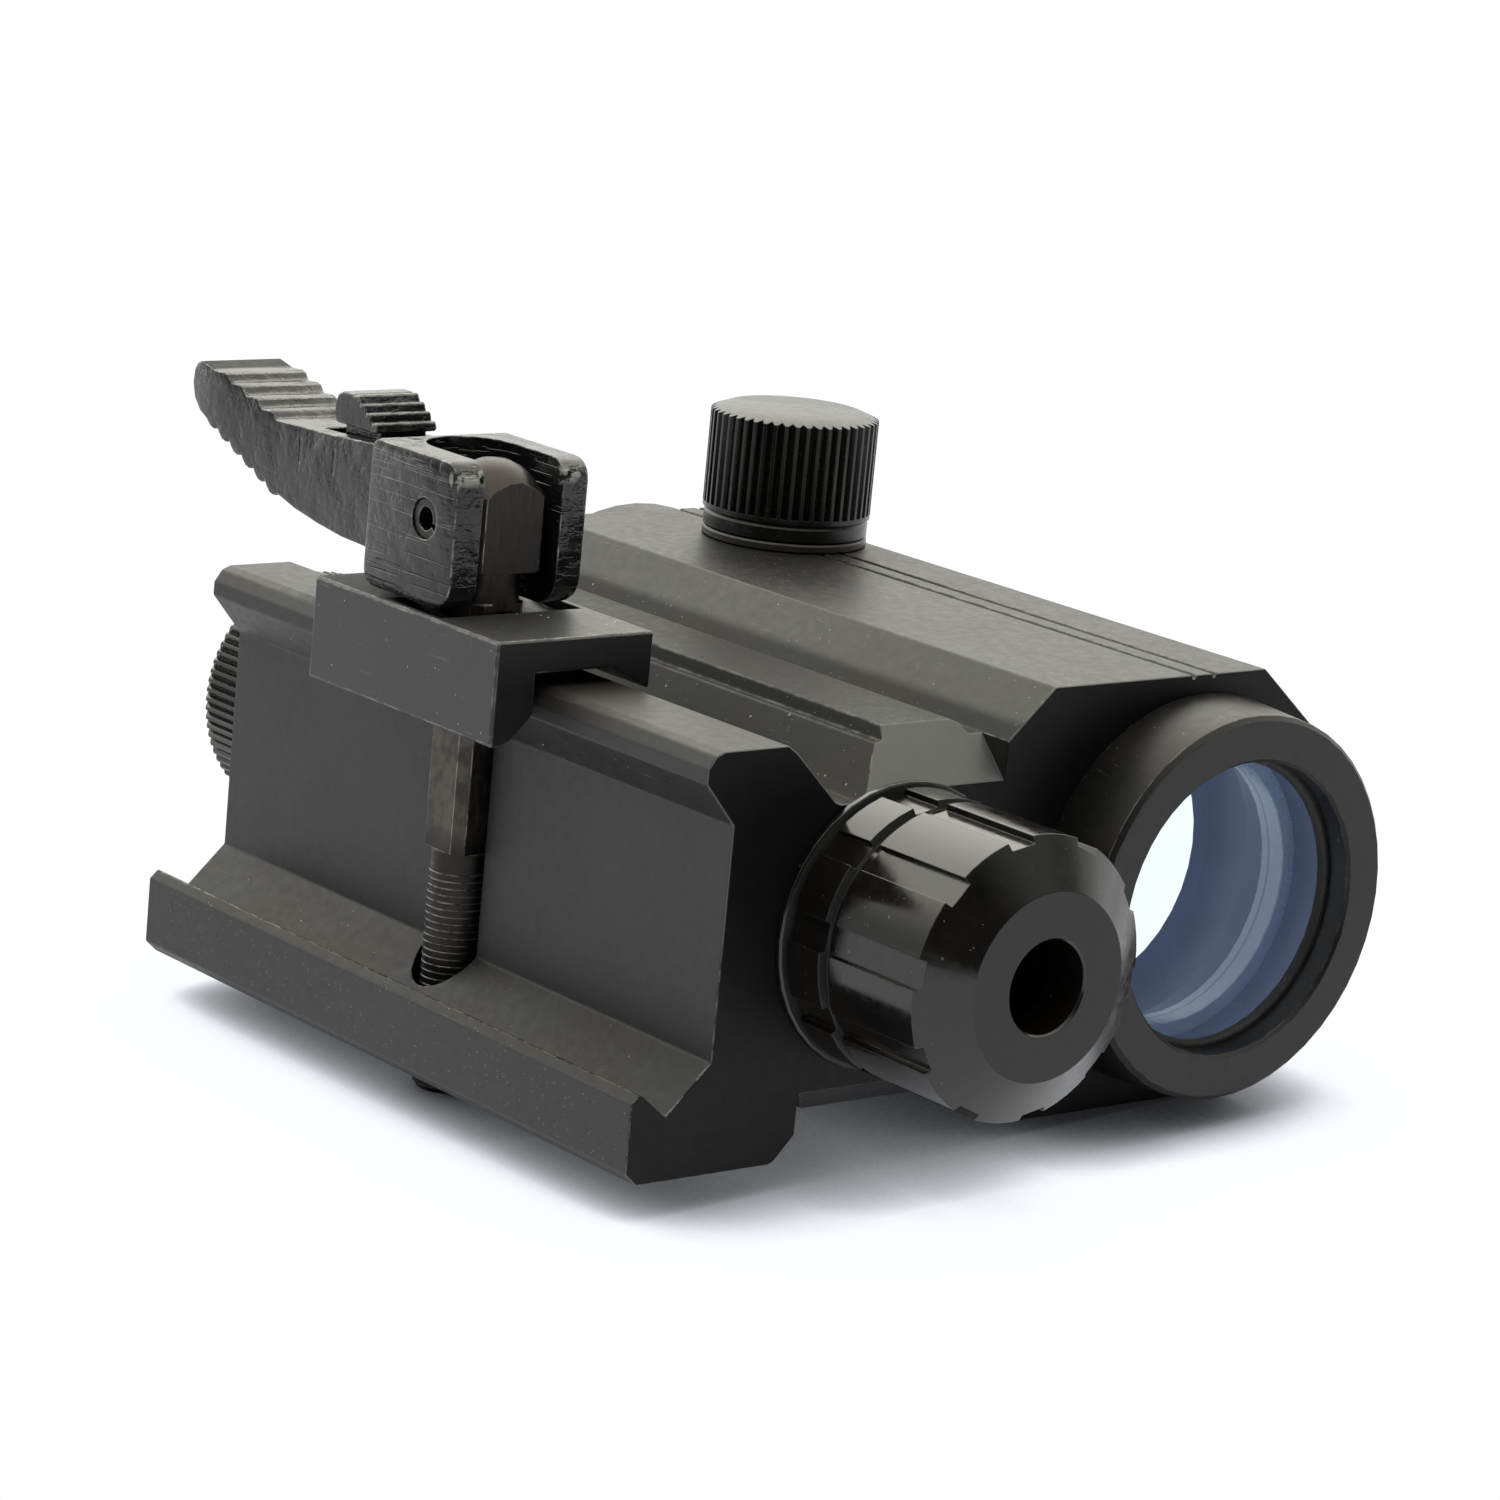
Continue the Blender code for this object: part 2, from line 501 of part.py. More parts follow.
# ---------------------------------------------------------------- clamp bolt and nut
BOLT_NECK_R = 2.35
BOLT_CORE_R = 1.9          # hidden in the square shank
BOLT_ROUND_R = 2.2
bolt = keep(turned("cross_bolt", [
    (0, 20.0), (BOLT_NECK_R, 20.0), (BOLT_NECK_R, 16.1), (BOLT_CORE_R, 15.6),
    (BOLT_CORE_R, -0.3), (BOLT_ROUND_R, -0.9), (BOLT_ROUND_R, -17.5), (1.9, -17.9), (0, -17.9)],
    X_AXIS, AT_BOLT, facets=32), STEEL)
boolean(bolt, prism("join_bolt_square", chamfered_square(4.4, chamfer=0.7), "YZ", -0.8, 16.6),
        "UNION")
# eye head: a turned dome trimmed to a square block, between the ears of the lever
head = turned("join_bolt_head", [
    (0, 26.2), (1.0, 26.1), (1.9, 25.7), (2.5, 25.2), (3.0, 24.65), (3.8, 23.7), (3.8, 19.1),
    (3.5, 18.8), (0, 18.8)], X_AXIS, AT_BOLT, facets=32)
boolean(head, prism("clip_bolt_head", chamfered_square(5.4, chamfer=0.35), "YZ", 18, 27),
        "INTERSECT")
boolean(bolt, head, "UNION")
boolean(bolt, rod("cut_bolt_eye", PIN_R + 0.1, 6, -6, Z_AXIS, (PIN_X, 0, BOLT_Z), SMALL))

nut = keep(turned("bolt_nut", [
    (3.3, -13.2), (3.7, -13.5), (3.7, -15.1), (3.4, -15.4), (2.3, -15.4), (2.3, -13.2)],
    X_AXIS, AT_BOLT, SMALL), STEEL)
boolean(nut, box("cut_nut_slot", -16.5, -14.7, -5, 5, BOLT_Z - 0.5, BOLT_Z + 0.5))

# ---------------------------------------------------------------- cam lever
EAR_INNER_X, EAR_OUTER_X = 16.45, 26.6
EAR_REAR, EAR_FRONT = -6.7, 3.45
EAR_HALF = 5.5             # half height over the ears
EAR_SLOT_HALF = 3.3
SLOT_ROOT_Y = -2.4         # centre of the fork slot's round root
HANDLE_HALF = 3.4

clevis = rounded([
    (EAR_INNER_X, EAR_REAR, 1.3), (EAR_INNER_X, EAR_FRONT, 2.0),
    (EAR_OUTER_X, EAR_FRONT, 1.5), (EAR_OUTER_X, EAR_REAR, 0.8)], steps=6)
lever = keep(prism("cam_lever", clevis, "XY", LEVER_Z - EAR_HALF, LEVER_Z + EAR_HALF, AT_PIN),
             CAST_BLACK)
soften(lever, 0.35, segments=2)

# handle, (x, y) outline: down the outer edge, round the tip and back along the inner edge
handle = [(26.3, -5.0), (26.2, -7.2), (25.55, -9.4), (25.15, -15.0), (24.95, -21.4)]
for k in range(4):         # thumb ridges, each a step up towards the tip
    x, y = 24.9 + 0.54 * k, -21.4 - 2.0 * k
    handle += [(x + 0.42, y - 0.25), (x + 0.55, y - 0.6), (x + 0.48, y - 1.85)]
handle += [
    (27.35, -30.9), (27.2, -31.6), (26.6, -32.0), (25.6, -32.1), (24.6, -31.8), (23.75, -31.0)]
SERRATIONS = 6             # rounded, along the inner edge
SERRATED_FROM, SERRATED_TO = (23.5, -30.2), (19.65, -20.6)
SERRATION = [(0.1, -0.12), (0.4, -0.36), (0.75, -0.28), (1.0, 0.10)]   # (share of pitch, x offset)
for k in range(SERRATIONS):
    for share, offset in SERRATION:
        x, y = (start + (end - start) * (k + share) / SERRATIONS
                for start, end in zip(SERRATED_FROM, SERRATED_TO))
        handle.append((x + offset, y))
handle += [(19.15, -18.3), (18.7, -15.5), (18.35, -12.5), (18.25, -9.5), (18.25, -5.0)]
grip = prism("join_handle", handle, "XY", LEVER_Z - HANDLE_HALF, LEVER_Z + HANDLE_HALF, AT_PIN)
soften(grip, 0.28, segments=2, angle=35)
boolean(lever, grip, "UNION")

# fork slot with a round root, (y, z) outline
fork = [(8.0, LEVER_Z - EAR_SLOT_HALF), (8.0, LEVER_Z + EAR_SLOT_HALF)]
fork += arc((SLOT_ROOT_Y, LEVER_Z), EAR_SLOT_HALF, start=90, sweep=180, steps=16)
boolean(lever, prism("cut_fork", fork, "YZ", 12, 32))
boolean(lever, rod("cut_pin", PIN_R + 0.06, 8, -8, Z_AXIS, AT_PIN, SMALL))
boolean(lever, box("cut_tab_slot", 23.0, 30.0, -17.0, -10.3, LEVER_Z - 2.2, LEVER_Z + 2.2))

# spring pin: a rolled strip, so its section is a ring with a gap
PIN_BORE_R = 0.82
PIN_HALF = EAR_HALF - 0.15
GAP_ANGLE, GAP_HALF = 115, 12      # degrees
PIN_SWEEP = 360 - 2 * GAP_HALF
pin = arc((PIN_X, 0), PIN_R, GAP_ANGLE + GAP_HALF, PIN_SWEEP, steps=18)
pin += arc((PIN_X, 0), PIN_BORE_R, GAP_ANGLE - GAP_HALF, -PIN_SWEEP, steps=18)
pivot_pin = keep(prism("pivot_pin", pin, "XY", LEVER_Z - PIN_HALF, LEVER_Z + PIN_HALF, AT_PIN),
                 STEEL)

# release tab: ridged cap over the handle with a tongue in the slot, (x, y) outline
RIDGE_CRESTS = [(26.65, -10.25), (27.2, -10.95), (27.72, -11.7), (28.2, -12.5)]
tab = [(25.95, -10.35), (26.15, -10.15)]
for x, y in RIDGE_CRESTS:
    tab += [(x - 0.25, y + 0.02), (x, y - 0.12), (x, y - 0.42), (x - 0.16, y - 0.55)]
tab += [
    (28.2, -13.35), (28.2, -14.3), (27.9, -14.95), (27.2, -15.25), (26.3, -15.2), (25.95, -14.9)]
release_tab = keep(prism("release_tab", tab, "XY", LEVER_Z - 2.7, LEVER_Z + 2.45,
                         (25.9, -12.4, LEVER_Z)), CAST_BLACK)
soften(release_tab, 0.14, angle=40)
boolean(release_tab, box("join_tongue", 23.3, 26.5, -14.8, -10.7, LEVER_Z - 1.9, LEVER_Z + 1.9),
        "UNION")

# ---------------------------------------------------------------- shading and parenting
bpy.context.view_layer.update()
for obj in parts.objects:
    if obj.type == "MESH":
        smooth(obj)
for child in (pivot_pin, release_tab):
    child.parent = lever
    child.matrix_parent_inverse = lever.matrix_world.inverted()

sight = bpy.data.objects.new("sight_frame", None)
scene.collection.objects.link(sight)
for obj in list(parts.objects) + list(tools.objects):
    if obj.parent is None:
        obj.parent = sight
sight.location = Vector((0, -SEAT_STATION, 0)) * MM
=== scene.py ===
"""A tube-shaped reflex sight with a laser beside it, on a rail clamp with a cam lever.

The tube runs along Y with its front towards +Y, Z is up, and the clamp's cross bolt runs
along X with the lever at its +X end. For the scene camera the sight lies on its -X side.
"""

import json
import math
from functools import reduce

import bmesh
import bpy
from mathutils import Matrix, Vector

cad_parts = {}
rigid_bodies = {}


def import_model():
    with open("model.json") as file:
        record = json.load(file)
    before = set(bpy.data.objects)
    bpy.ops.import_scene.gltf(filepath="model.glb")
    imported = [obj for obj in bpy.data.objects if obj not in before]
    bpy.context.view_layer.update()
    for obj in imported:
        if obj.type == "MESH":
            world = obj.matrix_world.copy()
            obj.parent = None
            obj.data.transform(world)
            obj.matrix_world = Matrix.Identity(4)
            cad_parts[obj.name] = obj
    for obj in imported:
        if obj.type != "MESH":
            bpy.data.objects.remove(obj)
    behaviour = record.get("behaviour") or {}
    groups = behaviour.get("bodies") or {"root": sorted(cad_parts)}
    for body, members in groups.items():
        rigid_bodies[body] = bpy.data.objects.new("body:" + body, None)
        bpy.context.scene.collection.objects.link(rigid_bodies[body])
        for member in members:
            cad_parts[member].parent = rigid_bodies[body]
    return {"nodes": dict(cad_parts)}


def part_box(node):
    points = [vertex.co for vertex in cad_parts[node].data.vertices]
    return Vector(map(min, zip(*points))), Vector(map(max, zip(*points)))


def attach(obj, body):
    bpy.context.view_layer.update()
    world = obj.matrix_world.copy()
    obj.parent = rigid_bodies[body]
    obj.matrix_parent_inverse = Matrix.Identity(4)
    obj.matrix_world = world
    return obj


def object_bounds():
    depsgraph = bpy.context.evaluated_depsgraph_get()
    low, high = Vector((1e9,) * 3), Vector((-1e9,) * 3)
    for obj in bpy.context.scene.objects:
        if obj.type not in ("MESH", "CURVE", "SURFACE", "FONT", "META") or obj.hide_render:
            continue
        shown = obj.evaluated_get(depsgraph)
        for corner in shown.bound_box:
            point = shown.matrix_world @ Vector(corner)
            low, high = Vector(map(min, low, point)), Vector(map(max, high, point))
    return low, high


for old in list(bpy.data.objects):
    bpy.data.objects.remove(old, do_unlink=True)

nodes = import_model()["nodes"]
cad_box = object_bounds()
scene = bpy.context.scene
MM = 0.001

# scene camera: place in metres and its axes; the lights and the lying floor are built for it
CAM_AT = Vector((0.085987, 0.253958, -0.201857))
CAM_RIGHT = Vector((0.08885514, 0.61145117, 0.78627745))
CAM_UP = Vector((0.9692153, -0.23506083, 0.07326734))
CAM_FWD = Vector((-0.22962243, -0.75556196, 0.6135142))
SENSOR_WIDTH = 36.0         # mm
FOCAL_LENGTH = 121.7811552  # mm
CAM_SHIFT = (0.065713333333, 0.0031333333333)  # share of the sensor width


# ------------------------------------------------------------------ node helpers
class Net:
    """Short calls for building a node tree. Values may be numbers, tuples or output sockets."""

    def __init__(self, tree):
        self.tree = tree
        tree.nodes.clear()

    def put(self, socket, value):
        if isinstance(value, bpy.types.NodeSocket):
            self.tree.links.new(value, socket)
        elif socket.type == "RGBA" and len(value) == 3:
            socket.default_value = (*value, 1)
        else:
            socket.default_value = value

    def node(self, kind, out=0, props=None, **ins):
        """Add a node and return one output. Inputs go by name (Base_Color) or index (i0)."""
        made = self.tree.nodes.new(kind)
        for key, value in (props or {}).items():
            setattr(made, key, value)
        for key, value in ins.items():
            by_index = key[0] == "i" and key[1:].isdigit()
            self.put(made.inputs[int(key[1:]) if by_index else key.replace("_", " ")], value)
        return made.outputs[out]

    # numbers
    def math(self, op, a, b=0.0):
        return self.node("ShaderNodeMath", props={"operation": op}, i0=a, i1=b, i2=0.0)

    def times(self, *values):
        return reduce(lambda a, b: self.math("MULTIPLY", a, b), values)

    def scaled(self, value, by):
        return self.times(value, by)

    def plus(self, a, b):
        return self.math("ADD", a, b)

    def minus(self, a, b):
        return self.math("SUBTRACT", a, b)

    def most(self, a, b):
        return self.math("MAXIMUM", a, b)

    def size(self, value):
        return self.math("ABSOLUTE", value)

    def above(self, value, limit):
        return self.math("GREATER_THAN", value, limit)

    def power(self, value, exponent):
        return self.math("POWER", value, exponent)

    def step(self, value, zero, one):
        """Smooth step from 0 at `zero` to 1 at `one`, which may be the lower of the two."""
        return self.node("ShaderNodeMapRange", props={"interpolation_type": "SMOOTHSTEP"},
                         i0=value, i1=zero, i2=one, i3=0.0, i4=1.0)

    def ramp(self, value, start, stop, first, last):
        """Straight ramp from `first` at `start` to `last` at `stop`."""
        return self.node("ShaderNodeMapRange", i0=value, i1=start, i2=stop, i3=first, i4=last)

    # vectors
    def vmath(self, op, a, b, out=0):
        return self.node("ShaderNodeVectorMath", out=out, props={"operation": op}, i0=a, i1=b)

    def dot(self, a, b):
        return self.vmath("DOT_PRODUCT", a, b, out="Value")

    def stretch(self, vector, factors):
        return self.vmath("MULTIPLY", vector, factors)

    def shift(self, vector, offset):
        return self.vmath("ADD", vector, offset)

    def xyz(self, vector):
        return tuple(self.node("ShaderNodeSeparateXYZ", i0=vector).node.outputs)

    def position(self):
        """Position on the piece in millimetres."""
        return self.stretch(self.node("ShaderNodeTexCoord", out="Object"), (1000, 1000, 1000))

    def normal(self):
        """Surface normal in the piece's own axes."""
        return self.node("ShaderNodeTexCoord", out="Normal")

    def backfacing(self):
        return self.node("ShaderNodeNewGeometry", out="Backfacing")

    def facing(self):
        """0 seen square on, rising to 1 at a grazing view."""
        return self.node("ShaderNodeLayerWeight", out="Facing", Blend=0.5)

    def own_view(self):
        """1 when rendering along the scene camera's axis, else 0."""
        ahead = self.turned((0, 0, 1), "CAMERA", "WORLD")
        return self.above(self.size(self.dot(ahead, CAM_FWD)), limit=0.9995)

    def turned(self, vector, source, target):
        spaces = {"vector_type": "VECTOR", "convert_from": source, "convert_to": target}
        return self.node("ShaderNodeVectorTransform", props=spaces, i0=vector)

    # colours and textures
    def mix(self, share, a, b):
        return self.node("ShaderNodeMix", out=2, props={"data_type": "RGBA"}, i0=share, i6=a, i7=b)

    def noise(self, vector, scale, detail=3.0, rough=0.5):
        return self.node("ShaderNodeTexNoise", Vector=vector, Scale=scale, Detail=detail,
                         Roughness=rough)

    def voronoi(self, vector, scale, out):
        return self.node("ShaderNodeTexVoronoi", out=out, Vector=vector, Scale=scale)

    # shaders
    def transparent(self, colour=(1, 1, 1)):
        return self.node("ShaderNodeBsdfTransparent", Color=colour)

    def glossy(self, colour, rough):
        return self.node("ShaderNodeBsdfGlossy", Color=colour, Roughness=rough)

    def emission(self, colour, strength):
        return self.node("ShaderNodeEmission", Color=colour, Strength=strength)

    def fresnel(self, ior):
        return self.node("ShaderNodeFresnel", IOR=ior)

    def blend(self, share, a, b):
        return self.node("ShaderNodeMixShader", i0=share, i1=a, i2=b)

    def bump(self, height, **normal):
        """Normal bent by a height in millimetres."""
        return self.node("ShaderNodeBump", Strength=1.0, Distance=MM, Height=height, **normal)

    def principled(self, **ins):
        self.finish(self.node("ShaderNodeBsdfPrincipled", **ins))

    def finish(self, shader, kind="ShaderNodeOutputMaterial"):
        self.tree.links.new(shader, self.tree.nodes.new(kind).inputs[0])


def new_material(name):
    material = bpy.data.materials.new(name)
    material.use_nodes = True
    return material, Net(material.node_tree)


def give(names, material):
    for name in names:
        mesh = nodes[name].data
        mesh.materials.clear()
        mesh.materials.append(material)
        for polygon in mesh.polygons:
            polygon.material_index = 0


# ------------------------------------------------------------------ smooth, welded CAD surfaces
def smooth_piece(name, piece):
    mesh = piece.data
    for stale in [a.name for a in mesh.attributes if a.name == "custom_normal"]:
        mesh.attributes.remove(mesh.attributes[stale])
    mesh.polygons.foreach_set("use_smooth", [True] * len(mesh.polygons))
    for edge in mesh.edges:
        edge.use_edge_sharp = False
    weld = piece.modifiers.new("weld", "WELD")
    weld.merge_threshold = 2e-6
    split = piece.modifiers.new("split", "EDGE_SPLIT")
    split.split_angle = math.radians(10 if name in ("housing", "clamp_block") else 24)
    split.use_edge_sharp = False


for node_name, node_piece in nodes.items():
    smooth_piece(node_name, node_piece)

# ------------------------------------------------------------------ coated metal
SCRATCH_COLOUR = (0.16, 0.155, 0.145)
DUST_COLOUR = (0.42, 0.42, 0.40)
SAWN_BLACK_AND_SHADE = (0.0045, 0.0045, 0.0048)

# relief in mm
GRAIN_RELIEF = 0.010
SCRATCH_DEPTH = 0.006
DUST_HEIGHT = 0.03
PIT_DEPTH = 0.020
DRAG_RELIEF = 0.010
WAVE_RELIEF = 0.17
BRUSH_RELIEF = 0.012


def edges(net, radius):
    """Rounded normal, and a 0-1 mask on outward and inward edges."""
    soft = net.node("ShaderNodeBevel", props={"samples": 4}, Radius=radius * MM)
    hard = net.node("ShaderNodeNewGeometry", out="Normal")
    return soft, net.step(net.minus(1.0, net.dot(soft, hard)), zero=0.01, one=0.06)


def specks(net, pos, scale, share, size):
    """Sparse grains: dots of mixed size on a share of the cells."""
    distance = net.voronoi(pos, scale, out="Distance")
    cell = net.voronoi(pos, scale, out="Color")
    pick = net.xyz(cell)[0]
    spare = net.xyz(cell)[1]
    radius = net.ramp(spare, start=0.0, stop=1.0, first=size * 0.45, last=size)
    dot = net.math("LESS_THAN", distance, radius)
    return net.times(dot, net.math("LESS_THAN", pick, share))


def scratch_mask(net, pos, amount):
    """Patches of fine scratches in two directions."""
    long_y = net.noise(net.stretch(pos, (3.2, 0.10, 3.2)), scale=2.4, detail=2.0)
    long_x = net.noise(net.stretch(pos, (0.16, 2.6, 1.1)), scale=2.0, detail=2.0)
    along_y = net.step(long_y, zero=0.685, one=0.72)
    along_x = net.step(long_x, zero=0.70, one=0.74)
    patches = net.step(net.noise(pos, scale=0.35, detail=2.0), zero=0.50, one=0.62)
    return net.times(net.most(along_y, net.times(along_x, amount)), patches, amount)


def cast_relief(net, pos, height):
    """Pits, drag lines and slow waves of a casting."""
    pit = net.step(net.noise(pos, scale=1.1, rough=0.6), zero=0.66, one=0.50)
    height = net.plus(height, net.times(pit, PIT_DEPTH))
    drag = net.noise(net.stretch(pos, (2.2, 0.12, 0.9)), scale=1.0, rough=0.55)
    height = net.plus(height, net.times(net.step(drag, zero=0.30, one=0.62), DRAG_RELIEF))
    return net.plus(height, net.times(net.noise(pos, scale=0.45, detail=2.0), WAVE_RELIEF))


def coated_metal(name, base=(0.022, 0.022, 0.023), tint=(0.035, 0.031, 0.026), rough=0.42,
                 grain=0.5, grain_size=7.0, wear=0.35, wear_colour=(0.30, 0.295, 0.285),
                 dust=1.0, radius=0.20, specular=0.5, cast=False, brushed=None, extra=None,
                 scratches=1.0):
    """Anodised or cast metal: blotchy sheen, blasted grain, scratches, dust, rubbed edges.

    `extra` may change colour, height and roughness; `specular` may be a function."""
    material, net = new_material(name)
    pos = net.position()
    broad = net.noise(pos, scale=0.11, detail=4.0, rough=0.55)
    fine = net.noise(pos, scale=grain_size, rough=0.6)
    mid = net.noise(pos, scale=1.3, detail=4.0, rough=0.6)
    colour = net.mix(net.step(broad, zero=0.35, one=0.70), base, tint)
    pale = net.scaled(net.step(mid, zero=0.45, one=0.75), by=0.35)
    colour = net.mix(pale, colour, tuple(c * 1.7 for c in base))
    scratch = scratch_mask(net, pos, scratches)
    colour = net.mix(net.scaled(scratch, by=0.40), colour, SCRATCH_COLOUR)

    soft, edge = edges(net, radius)
    patchy = net.step(net.noise(pos, scale=0.9, detail=4.0, rough=0.65), zero=0.40, one=0.62)
    worn = net.times(edge, patchy, wear)
    colour = net.mix(worn, colour, wear_colour)

    coarse_dust = specks(net, pos, scale=1.3, share=0.09, size=0.135)
    fine_dust = specks(net, net.shift(pos, (31.7, 11.1, 5.3)), scale=3.2, share=0.06, size=0.19)
    grains = net.scaled(net.most(coarse_dust, fine_dust), by=0.75 * dust)
    colour = net.mix(grains, colour, DUST_COLOUR)

    roughness = net.ramp(mid, start=0.3, stop=0.7, first=rough - 0.05, last=rough + 0.06)
    blotches = net.step(broad, zero=0.4, one=0.7)
    roughness = net.plus(roughness, net.scaled(blotches, by=0.04))
    roughness = net.most(roughness, net.scaled(grains, by=0.9))

    height = net.times(fine, GRAIN_RELIEF * grain)
    height = net.minus(height, net.times(scratch, SCRATCH_DEPTH))
    height = net.plus(height, net.times(grains, DUST_HEIGHT))
    if cast:
        height = cast_relief(net, pos, height)
    if brushed:
        brush = net.noise(net.stretch(pos, brushed), scale=1.0, rough=0.6)
        height = net.plus(height, net.times(brush, BRUSH_RELIEF))
    metal = net.scaled(worn, by=0.7)
    if extra:
        colour, height, roughness = extra(net, pos, colour, height, roughness)
    if callable(specular):
        specular = specular(net, pos)
    net.principled(Base_Color=colour, Roughness=roughness, Metallic=metal,
                   Specular_IOR_Level=specular, Normal=net.bump(height, Normal=soft))
    return material


def cut_ends(net, normal):
    """Mask on the faces square to Y."""
    return net.step(net.size(net.xyz(normal)[1]), zero=0.80, one=0.95)


def housing_extra(net, pos, colour, height, rough):
    """Cut ends darker than the flats: partly a darker sawn finish, partly painted shade. The flats
    carry long drag lines.
    """
    drag = net.noise(net.stretch(pos, (5.0, 0.04, 5.0)), scale=1.0, rough=0.6)
    height = net.plus(height, net.scaled(drag, by=0.004))
    normal = net.normal()
    # the dark on the faces square to Y is partly a sawn finish, partly painted shade
    colour = net.mix(cut_ends(net, normal), colour, SAWN_BLACK_AND_SHADE)
    # painted light: the downward seat faces get a lighter grey than the other flats
    seat = net.step(net.scaled(net.xyz(normal)[2], by=-1.0), zero=0.80, one=0.95)
    colour = net.mix(seat, colour, (0.020, 0.020, 0.0205))
    x, y, _ = net.xyz(pos)
    # fine pale speckle on the downward face of the fixed jaw
    jaw = net.times(seat, net.step(x, zero=-8.0, one=-9.0))
    dots = specks(net, net.shift(pos, (7.3, 3.9, 1.7)), scale=5.0, share=0.16, size=0.26)
    flecks = net.times(dots, jaw)
    colour = net.mix(net.scaled(flecks, by=0.45), colour, (0.30, 0.30, 0.29))
    # grey milled run-out: faces slanting to +Y, near the front on the lever side
    slanted = net.times(net.step(net.xyz(normal)[1], zero=0.5, one=0.6),
                        net.step(net.xyz(normal)[1], zero=0.85, one=0.78))
    corner = net.times(net.above(y, limit=8.0), net.above(x, limit=0.0))
    colour = net.mix(net.times(slanted, corner), colour, (0.085, 0.085, 0.082))
    return colour, height, rough


def housing_sheen(net, pos):
    """The waist below the tube, the hook's slope and the cut ends mirror less than the flats."""
    x, _, z = net.xyz(pos)
    normal = net.normal()
    waist = net.times(net.step(z, zero=8.4, one=9.4), net.step(z, zero=24.6, one=23.8),
                      net.step(net.xyz(net.normal())[1], zero=0.5, one=0.3))
    hook = net.times(net.step(x, zero=-6.0, one=-8.5), net.step(z, zero=1.0, one=-0.5),
                     net.step(net.xyz(normal)[2], zero=-0.85, one=-0.60))
    hook_or_end = net.most(net.scaled(hook, by=0.45), net.scaled(cut_ends(net, normal), by=0.55))
    dull = net.most(net.scaled(waist, by=0.72), hook_or_end)
    return net.scaled(net.minus(1.0, dull), by=0.42)


def block_extra(net, pos, colour, height, rough):
    """The block's sides are a touch greyer than its dark sawn ends."""
    return net.mix(cut_ends(net, net.normal()), colour, SAWN_BLACK_AND_SHADE), height, rough


def front_face(net):
    """Mask on the faces towards +Y."""
    return net.step(net.xyz(net.normal())[1], zero=0.90, one=0.985)


def face_extra(net, pos, colour, height, rough):
    """The turned front face is a matt grey beside the dark rim."""
    front = front_face(net)
    colour = net.mix(front, colour, (0.034, 0.034, 0.0345))
    return colour, height, net.plus(rough, net.scaled(front, by=0.16))


def laser_sheen(net, pos):
    """Glossy flanks, a plainer front disc."""
    return net.minus(0.62, net.scaled(front_face(net), by=0.40))


GATE_MARKS_Y = (-32.3, -28.2)  # mm along the handle
EAR_CORNER_X = 25.5
EAR_CORNER_BACK = 11.25        # distance behind y = 0


def handle_tip(net, y):
    """Mask on the handle's last +X flat."""
    return net.times(net.step(y, zero=-43.5, one=-43.9),
                     net.step(net.xyz(net.normal())[0], zero=0.6, one=0.8))


def gate_mark(net, x, y, mark_y):
    """A short line along X at one place on the handle."""
    off = net.size(net.minus(y, mark_y))
    reach = net.times(net.step(x, zero=22.3, one=22.7), net.step(x, zero=24.4, one=24.0))
    return net.times(net.step(off, zero=0.22, one=0.08), reach)


def lever_extra(net, pos, colour, height, rough):
    x, y, _ = net.xyz(pos)
    marks = net.most(*[gate_mark(net, x, y, mark_y) for mark_y in GATE_MARKS_Y])
    height = net.minus(height, net.scaled(marks, by=0.16))
    # heavy drag lines along the clevis sides
    lines = net.noise(net.stretch(pos, (3.4, 0.09, 0.6)), scale=1.0, detail=2.0)
    cheek = net.step(y, zero=-21.5, one=-19.5)
    drag = net.times(net.step(lines, zero=0.58, one=0.66), cheek)
    height = net.minus(height, net.scaled(drag, by=0.045))
    # painted highlights: bright spots on the ears' outer corners
    across = net.power(net.size(net.minus(x, EAR_CORNER_X)), exponent=2.0)
    along = net.power(net.size(net.plus(y, EAR_CORNER_BACK)), exponent=2.0)
    patches = net.step(net.noise(pos, scale=1.6, detail=2.0), zero=0.42, one=0.60)
    painted_glint = net.times(net.step(net.plus(across, along), zero=0.55, one=0.05), patches)
    colour = net.mix(net.scaled(painted_glint, by=0.6), colour, (0.55, 0.55, 0.52))
    rough = net.plus(rough, net.scaled(handle_tip(net, y), by=0.30))
    return colour, height, rough


def lever_sheen(net, pos):
    """The tip flat mirrors much less."""
    return net.minus(0.56, net.scaled(handle_tip(net, net.xyz(pos)[1]), by=0.46))


RING_PARTING_Y = 12.8


def ring_extra(net, pos, colour, height, rough):
    """Parting line between two threaded rings."""
    off = net.size(net.minus(net.xyz(pos)[1], RING_PARTING_Y))
    line = net.step(off, zero=0.16, one=0.07)
    return net.mix(line, colour, (0.01, 0.01, 0.012)), height, rough


give(["housing"], coated_metal(
    "housing_black", base=(0.0105, 0.0105, 0.0108), tint=(0.016, 0.0145, 0.012), rough=0.43,
    grain=0.55, wear=0.75, dust=0.8, specular=housing_sheen, extra=housing_extra))
give(["clamp_block"], coated_metal(
    "block_black", base=(0.024, 0.024, 0.026), tint=(0.032, 0.031, 0.031), grain=0.6,
    wear=1.0, dust=1.2, brushed=(0.3, 0.3, 9.0), extra=block_extra))
give(["objective_bezel", "ocular_bezel"], coated_metal(
    "bezel_black", base=(0.0065, 0.0065, 0.0065), tint=(0.012, 0.0105, 0.009), rough=0.36,
    grain=0.25, wear=0.45, dust=0.25, radius=0.12, specular=0.28, extra=face_extra))
give(["windage_base", "elevation_base"], coated_metal(
    "post_black", base=(0.026, 0.024, 0.022), tint=(0.034, 0.031, 0.028), rough=0.34,
    grain=0.3, wear=0.15, dust=0.4, radius=0.10))
